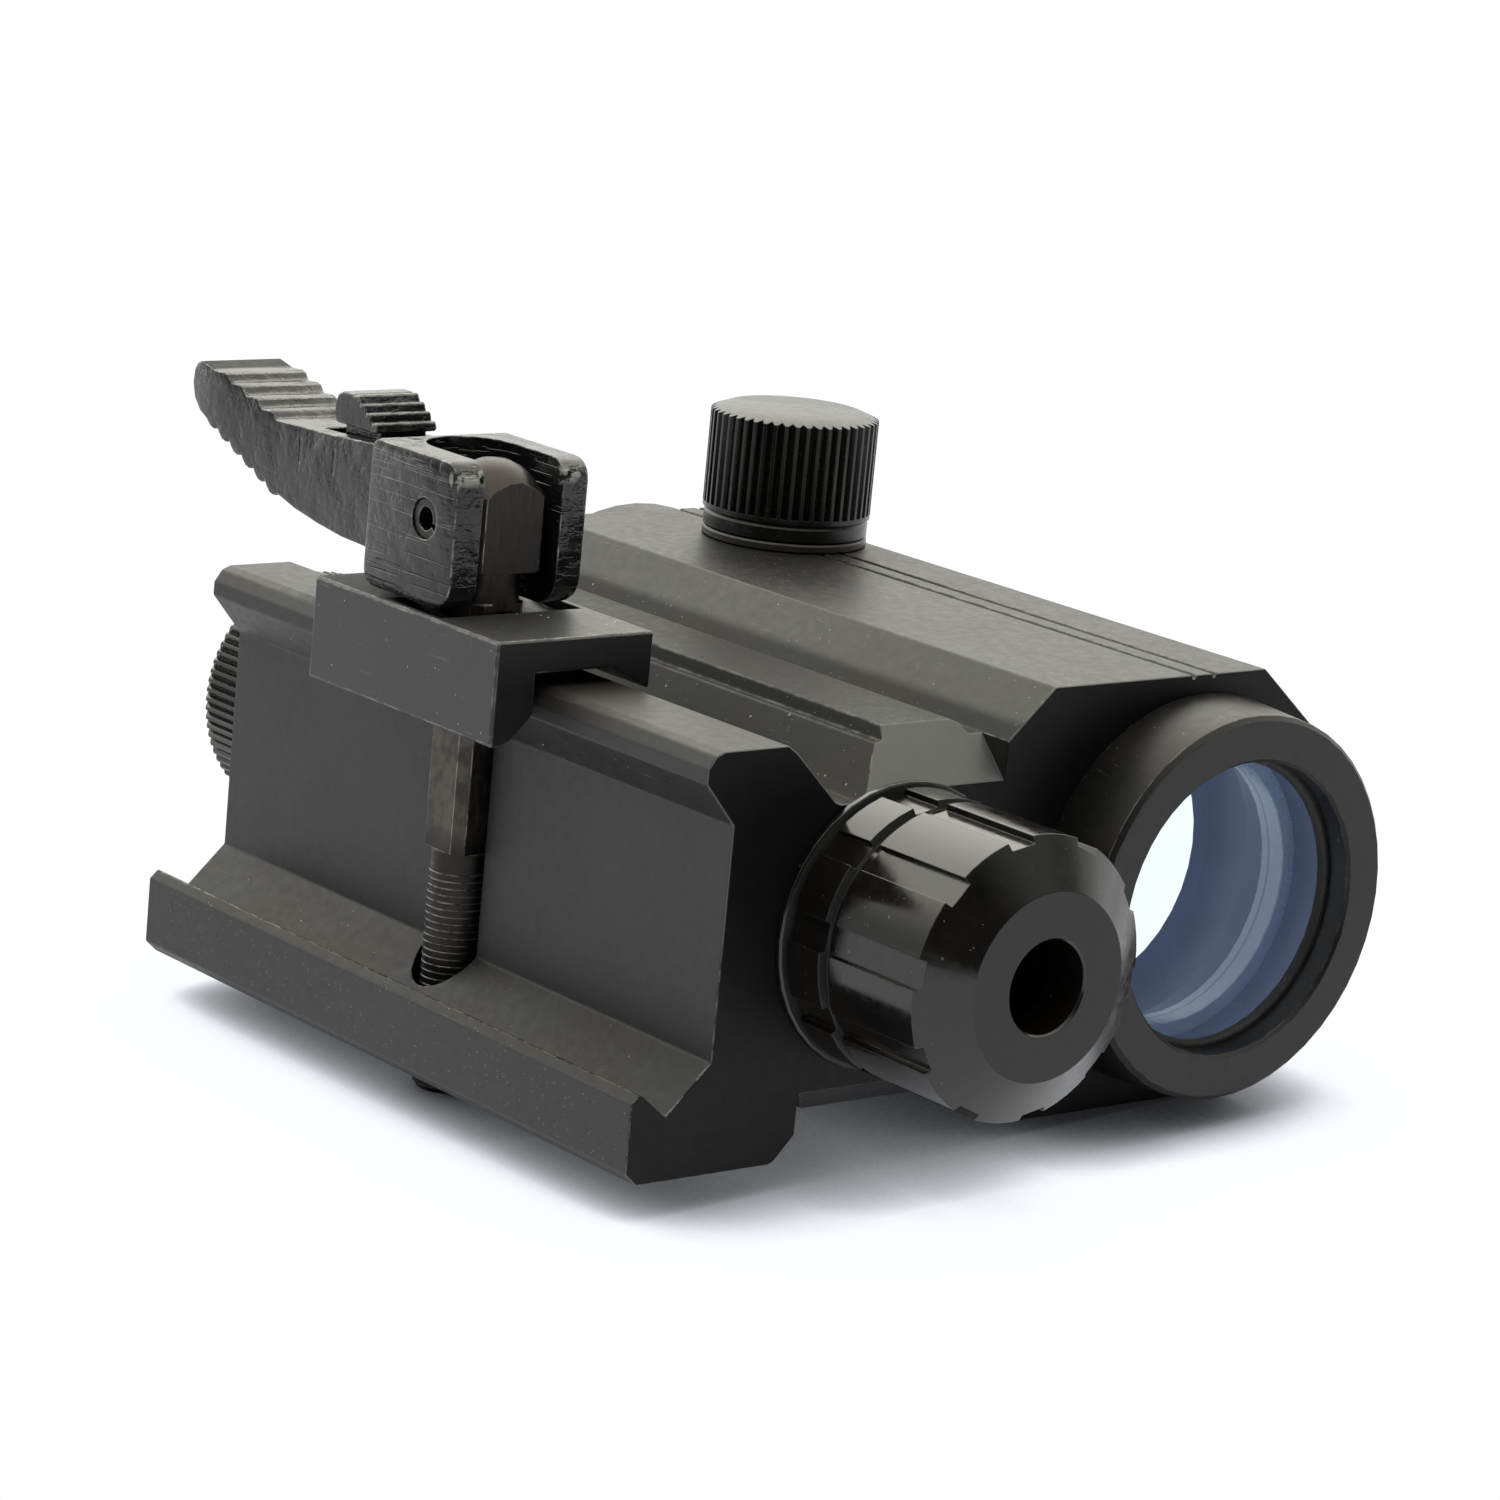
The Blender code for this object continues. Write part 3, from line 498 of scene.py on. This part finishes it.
give(["laser_bezel", "laser_collar"], coated_metal(
    "laser_bezel_black", base=(0.0030, 0.0029, 0.0027), tint=(0.009, 0.0070, 0.0050),
    rough=0.15, grain=0.12, wear=0.16, dust=0.30, radius=0.10, specular=laser_sheen,
    scratches=0.25, extra=face_extra))
give(["windage_cap", "elevation_cap", "battery_cap"], coated_metal(
    "knurl_black", base=(0.0040, 0.0040, 0.0038), tint=(0.009, 0.0088, 0.0065), rough=0.24,
    grain=0.01, wear=0.12, dust=0.15, radius=0.06, wear_colour=(0.20, 0.20, 0.17),
    specular=0.45, scratches=0.0))
give(["cam_lever", "release_tab"], coated_metal(
    "cast_black", base=(0.0045, 0.0045, 0.0048), tint=(0.008, 0.008, 0.0085), rough=0.15,
    grain=0.03, grain_size=3.0, wear=0.80, wear_colour=(0.45, 0.45, 0.44), dust=0.25,
    cast=True, radius=0.17, specular=lever_sheen, scratches=0.12, extra=lever_extra))
give(["objective_gasket"], coated_metal(
    "seal_black", base=(0.010, 0.010, 0.010), tint=(0.014, 0.014, 0.014), rough=0.6,
    wear=0.0, dust=0.6))
give(["inner_tube"], coated_metal(
    "inner_black", base=(0.022, 0.022, 0.028), tint=(0.030, 0.030, 0.038), rough=0.40,
    wear=0.2, dust=0.3))
give(["emitter_holder"], coated_metal(
    "holder_black", base=(0.02, 0.02, 0.02), rough=0.55, wear=0.0, dust=0.3))
give(["objective_retainer", "ocular_retainer"], coated_metal(
    "retainer_grey", base=(0.10, 0.145, 0.150), tint=(0.15, 0.20, 0.20), rough=0.28,
    grain=0.05, wear=0.0, dust=0.0, scratches=0.0, specular=0.9, extra=ring_extra))


# ------------------------------------------------------------------ steel, brass and small parts
def steel(name, base, tint, rough, streaks, metal=0.85, dark_ends=()):
    """Machined steel with drawn lines and stains; `dark_ends` lists steps along X to a darker
    colour, which on the bolt's head is painted shade.
    """
    material, net = new_material(name)
    pos = net.position()
    line = net.noise(net.stretch(pos, streaks), scale=1.0, detail=4.0, rough=0.6)
    stain = net.noise(pos, scale=0.7, detail=5.0, rough=0.6)
    colour = net.mix(net.step(stain, zero=0.35, one=0.65), base, tint)
    pale = net.scaled(net.step(line, zero=0.5, one=0.75), by=0.5)
    colour = net.mix(pale, colour, tuple(c * 1.9 for c in base))
    for zero, one, dark in dark_ends:
        colour = net.mix(net.step(net.xyz(pos)[0], zero, one), colour, dark)
    soft, edge = edges(net, radius=0.12)
    patchy = net.step(net.noise(pos, scale=1.2), zero=0.35, one=0.6)
    worn = net.scaled(net.times(edge, patchy), by=0.7)
    colour = net.mix(worn, colour, (0.5, 0.48, 0.45))
    roughness = net.ramp(line, start=0.3, stop=0.7, first=rough - 0.08, last=rough + 0.10)
    height = net.plus(net.scaled(line, by=0.008), net.scaled(net.noise(pos, scale=6.0), by=0.004))
    net.principled(Base_Color=colour, Roughness=roughness, Metallic=metal,
                   Normal=net.bump(height, Normal=soft))
    return material


def barrel_brass():
    """Brass barrel, near black from y = 16 mm forward."""
    material, net = new_material("barrel_brass")
    pos = net.position()
    stain = net.noise(pos, scale=0.9, detail=4.0, rough=0.6)
    line = net.noise(net.stretch(pos, (1.0, 6.0, 1.0)), scale=1.0, rough=0.6)
    brass = net.mix(net.step(stain, zero=0.35, one=0.65), (0.62, 0.43, 0.17), (0.45, 0.30, 0.11))
    black = net.step(net.xyz(pos)[1], zero=16.0, one=17.5)
    net.principled(Base_Color=net.mix(black, brass, (0.004, 0.004, 0.0045)),
                   Roughness=net.plus(0.30, net.scaled(black, by=0.15)),
                   Metallic=net.minus(1.0, black), Specular_IOR_Level=0.2,
                   Normal=net.bump(net.scaled(line, by=0.012)))
    return material


def plain(name, colour, dark, rough, scale, relief, metal=0.0, **glow):
    """Moulded or printed small parts: mottled colour and a fine texture."""
    material, net = new_material(name)
    pos = net.position()
    mottled = net.mix(net.noise(pos, scale, detail=4.0, rough=0.6), dark, colour)
    height = net.times(net.noise(pos, scale=8.0), relief)
    net.principled(Base_Color=mottled, Roughness=rough, Metallic=metal,
                   Normal=net.bump(height), **glow)
    return material


# painted shade: the bolt's head (x past 16.5 mm) is darkened; the threaded end is also darker from
# x = 1.5 mm towards -X
bolt_steel = steel("bolt_steel", base=(0.085, 0.078, 0.068), tint=(0.045, 0.041, 0.036),
                   rough=0.36, streaks=(0.35, 5.0, 5.0),
                   dark_ends=((16.5, 18.5, (0.042, 0.038, 0.034)),
                              (1.5, -1.0, (0.030, 0.028, 0.026))))
give(["cross_bolt"], bolt_steel)
give(["bolt_nut", "pivot_pin", "windage_screw", "elevation_screw"], steel(
    "pin_steel", base=(0.05, 0.048, 0.046), tint=(0.03, 0.029, 0.028), rough=0.34,
    streaks=(4.0, 4.0, 4.0)))
give(["contact_spring", "return_spring", "laser_diode"], steel(
    "spring_steel", base=(0.55, 0.54, 0.52), tint=(0.40, 0.39, 0.37), rough=0.28,
    streaks=(6.0, 6.0, 6.0), metal=1.0))
give(["laser_barrel"], barrel_brass())
give(["battery_cell"], plain(
    "cell_sleeve", colour=(0.34, 0.35, 0.37), dark=(0.24, 0.25, 0.27), rough=0.32, scale=0.5,
    relief=0.004, metal=0.6))
give(["driver_board"], plain(
    "board_green", colour=(0.03, 0.20, 0.07), dark=(0.02, 0.11, 0.04), rough=0.42, scale=1.5,
    relief=0.02))
give(["led_emitter"], plain(
    "led_red", colour=(0.8, 0.05, 0.03), dark=(0.5, 0.02, 0.02), rough=0.2, scale=1.0,
    relief=0.0, Emission_Color=(1.0, 0.05, 0.03), Emission_Strength=0.6))


# ------------------------------------------------------------------ glass
def coated_window(name, veil, clear):
    """Clear flat window with a painted reflection: a glow in the coating's colour that grows as
    the view slants.
    """
    material, net = new_material(name)
    smear = net.noise(net.position(), scale=0.14, detail=2.0)
    back = net.backfacing()
    amount = net.times(net.step(net.facing(), zero=0.02, one=0.26), net.minus(1.0, back),
                       net.ramp(smear, start=0.3, stop=0.7, first=0.85, last=1.12))
    # painted reflection: the veil is emission in place of the bright backdrop mirrored by the
    # coating
    body = net.node("ShaderNodeAddShader", i0=net.transparent(clear),
                    i1=net.emission(veil, amount))
    mirror = net.glossy((0.45, 0.58, 0.9), rough=0.03)
    share = net.times(net.scaled(net.fresnel(ior=1.30), by=0.8), net.minus(1.0, back))
    net.finish(net.blend(share, body, mirror))
    return material


def reflex_coating():
    """Clear with a red mirror square on; from a slant a painted pale glow stands for the bright
    light seen through the lens.
    """
    material, net = new_material("reflex_coating")
    cloud = net.noise(net.position(), scale=0.14)
    # painted light: the glow below is emission, though the lens is no lamp
    glow = net.mix(net.step(cloud, zero=0.35, one=0.65), (0.98, 1.07, 1.07), (1.0, 1.10, 1.08))
    lens = net.blend(net.fresnel(ior=1.7), net.transparent((0.96, 0.90, 0.88)),
                     net.glossy((0.9, 0.45, 0.40), rough=0.02))
    slant = net.step(net.facing(), zero=0.10, one=0.20)
    net.finish(net.blend(slant, lens, net.emission(glow, strength=1.0)))
    return material


def collimator_glass():
    material, net = new_material("collimator_glass")
    share = net.scaled(net.fresnel(ior=1.5), by=0.5)
    net.finish(net.blend(share, net.transparent((0.55, 0.55, 0.60)),
                         net.glossy((1.0, 0.93, 0.75), rough=0.05)))
    return material


give(["objective_window"], coated_window(
    "objective_coating", veil=(0.041, 0.056, 0.102), clear=(0.95, 0.97, 1.0)))
give(["ocular_window"], coated_window(
    "ocular_coating", veil=(0.020, 0.030, 0.050), clear=(0.96, 0.98, 1.0)))
give(["reflex_lens"], reflex_coating())
give(["collimating_lens"], collimator_glass())

# ------------------------------------------------------------------ bolt thread
THREAD_START = -16.8  # mm along X
THREAD_END = -1.9
THREAD_PITCH = 0.50
ROOT_RADIUS = 2.19
CREST_RADIUS = 2.235
FOOT_SINK = 0.12      # foot below the root radius
RUN_OUT = 0.6         # turns over which each end fades
TURN_STEPS = 40

bolt_lo, bolt_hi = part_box("cross_bolt")
bolt_y = (bolt_lo.y + bolt_hi.y) / 2 / MM
bolt_z = (bolt_lo.z + bolt_hi.z) / 2 / MM


def thread_mesh():
    """A helical ridge round the bolt, closed at both ends, its foot sunk in the shaft."""
    turns = (THREAD_END - THREAD_START) / THREAD_PITCH
    count = int(turns * TURN_STEPS) + 1
    foot = ROOT_RADIUS - FOOT_SINK
    verts, faces = [], []
    for i in range(count):
        done = i / (count - 1)
        angle = 2 * math.pi * turns * done
        x = THREAD_START + (THREAD_END - THREAD_START) * done
        fade = min(1.0, done * turns / RUN_OUT, (1 - done) * turns / RUN_OUT)
        crest = ROOT_RADIUS + (CREST_RADIUS - ROOT_RADIUS) * max(fade, 0.02)
        for offset, radius in ((-0.36, foot), (-0.06, crest), (0.06, crest), (0.36, foot)):
            verts.append(Vector((x + THREAD_PITCH * offset, bolt_y + radius * math.cos(angle),
                                 bolt_z + radius * math.sin(angle))) * MM)
    for i in range(count - 1):
        a, b = 4 * i, 4 * (i + 1)
        for k in range(4):
            faces.append((a + k, a + (k + 1) % 4, b + (k + 1) % 4, b + k))
    last = 4 * (count - 1)
    faces.append((0, 1, 2, 3))
    faces.append((last + 3, last + 2, last + 1, last))
    return verts, faces


def build_thread():
    mesh = bpy.data.meshes.new("bolt_thread")
    verts, faces = thread_mesh()
    mesh.from_pydata(verts, [], faces)
    mesh.validate()
    work = bmesh.new()
    work.from_mesh(mesh)
    bmesh.ops.recalc_face_normals(work, faces=work.faces)
    work.to_mesh(mesh)
    work.free()
    mesh.materials.append(bolt_steel)
    piece = bpy.data.objects.new("bolt_thread", mesh)
    scene.collection.objects.link(piece)
    mesh.polygons.foreach_set("use_smooth", [True] * len(mesh.polygons))
    mesh.set_sharp_from_angle(angle=math.radians(35))
    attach(piece, "sight_body")


build_thread()


# ------------------------------------------------------------------ floors
def open_share(net, direction, distance):
    """How open the floor is towards a direction, 0-1."""
    towards = net.shift(direction, (0, 0, 0))
    return net.node("ShaderNodeAmbientOcclusion", out="AO", props={"samples": 16},
                    Distance=distance, Normal=towards)


def paper(name, upright, when_lying):
    """White paper glowing evenly, with a painted shadow dark close under the sight; shown only in
    the views its floor is for.
    """
    material, net = new_material(name)
    grain = net.noise(net.position(), scale=0.5, detail=4.0, rough=0.6)
    colour = net.mix(grain, (0.86, 0.86, 0.87), (0.90, 0.90, 0.91))
    lean = left = right = upright
    if when_lying:  # the painted shadow leans as if soft light came from behind the sight, from both sides
        lean = (upright + 0.75 * CAM_FWD - 0.70 * CAM_RIGHT).normalized()
        left = (upright + 0.58 * CAM_FWD - 0.80 * CAM_RIGHT).normalized()
        right = (upright + 0.58 * CAM_FWD + 0.80 * CAM_RIGHT).normalized()
    near = open_share(net, lean, distance=0.010)
    sides = net.plus(open_share(net, left, distance=0.018), open_share(net, right, distance=0.018))
    wide = net.scaled(sides, by=0.5)
    # painted shadow: occlusion sets how dark the glowing paper is, and tints it blue near the
    # sight
    shade = net.times(net.power(near, exponent=1.3), net.power(wide, exponent=1.3))
    level = net.scaled(net.ramp(shade, start=0.03, stop=0.36, first=0.008, last=1.0), by=1.02)
    tone = net.mix(shade, (0.90, 0.93, 1.0), (1.0, 1.0, 1.0))
    tone = net.mix(0.04, tone, colour)  # a trace of the paper's grain
    own = net.own_view()
    show = own if when_lying else net.minus(1.0, own)
    show = net.times(show, net.minus(1.0, net.backfacing()))
    net.finish(net.blend(show, net.transparent(), net.emission(tone, level)))
    material.use_transparent_shadow = True
    return material


def floor(name, centre, normal, when_lying):
    grid = bmesh.new()
    bmesh.ops.create_grid(grid, x_segments=8, y_segments=8, size=2.0)
    mesh = bpy.data.meshes.new(name)
    grid.to_mesh(mesh)
    grid.free()
    piece = bpy.data.objects.new(name, mesh)
    scene.collection.objects.link(piece)
    upright = Vector(normal).normalized()
    piece.rotation_mode = "QUATERNION"
    piece.rotation_quaternion = Vector((0, 0, 1)).rotation_difference(upright)
    piece.location = Vector(centre)
    piece.visible_shadow = False
    mesh.materials.append(paper(name + "_paper", upright, when_lying))


# the lying floor touches the bolt's -X end and a point high on the -X side
bolt_touch = Vector((bolt_lo.x, 0, (bolt_z - 2.2) * MM))
high_touch = Vector((-0.0152, 0, 0.04636))
lying_normal = (high_touch - bolt_touch).normalized().cross(Vector((0, 1, 0))).normalized()
if lying_normal.x < 0:
    lying_normal = -lying_normal
floor("floor_lying", bolt_touch - lying_normal * 0.00005, lying_normal, True)
floor("floor_level", (0, 0, cad_box[0].z - 0.0002), (0, 0, 1), False)


# ------------------------------------------------------------------ light and camera
def build_world():
    """One soft studio set fixed to the camera, seen by the camera itself as plain white."""
    world = bpy.data.worlds.new("studio")
    scene.world = world
    world.use_nodes = True
    net = Net(world.node_tree)
    direction = net.node("ShaderNodeTexCoord", out="Generated")
    # `deep` is positive ahead of the camera
    right, up, deep = net.xyz(net.turned(direction, "WORLD", "CAMERA"))
    overhead = net.scaled(net.step(up, zero=0.30, one=0.90), by=2.2)
    behind = net.times(net.step(deep, zero=0.0, one=0.55), net.step(up, zero=-0.20, one=0.05))
    backdrop = net.scaled(behind, by=1.25)
    beside = net.times(net.step(right, zero=-0.25, one=-0.80), net.step(up, zero=-0.3, one=0.3))
    window = net.scaled(beside, by=0.45)
    # brighter fill for every view but the scene camera's, so all sides read
    fill = net.ramp(net.own_view(), start=0.0, stop=1.0, first=0.55, last=0.035)
    level = net.plus(net.plus(fill, overhead), net.plus(backdrop, window))
    colour = net.mix(net.step(up, zero=-0.1, one=0.7), (0.96, 0.98, 1.0), (1.0, 0.985, 0.90))
    lit = net.node("ShaderNodeBackground", Color=colour, Strength=level)
    white = net.node("ShaderNodeBackground", Color=(1, 1, 1), Strength=1.0)
    camera_ray = net.node("ShaderNodeLightPath", out="Is Camera Ray")
    net.finish(net.blend(camera_ray, lit, white), kind="ShaderNodeOutputWorld")


def build_camera():
    lens = bpy.data.cameras.new("view")
    camera = bpy.data.objects.new("view", lens)
    scene.collection.objects.link(camera)
    lens.sensor_fit = "HORIZONTAL"
    lens.sensor_width = SENSOR_WIDTH
    lens.lens = FOCAL_LENGTH
    lens.shift_x, lens.shift_y = CAM_SHIFT
    lens.clip_start = 0.01
    lens.clip_end = 10.0
    turn = Matrix((CAM_RIGHT, CAM_UP, -CAM_FWD)).transposed()
    camera.matrix_world = Matrix.Translation(CAM_AT) @ turn.to_4x4()
    scene.camera = camera


build_world()
scene.view_settings.view_transform = "Standard"
scene.view_settings.look = "None"
scene.view_settings.exposure = 0.0
scene.view_settings.gamma = 1.0
build_camera()

bpy.context.view_layer.update()
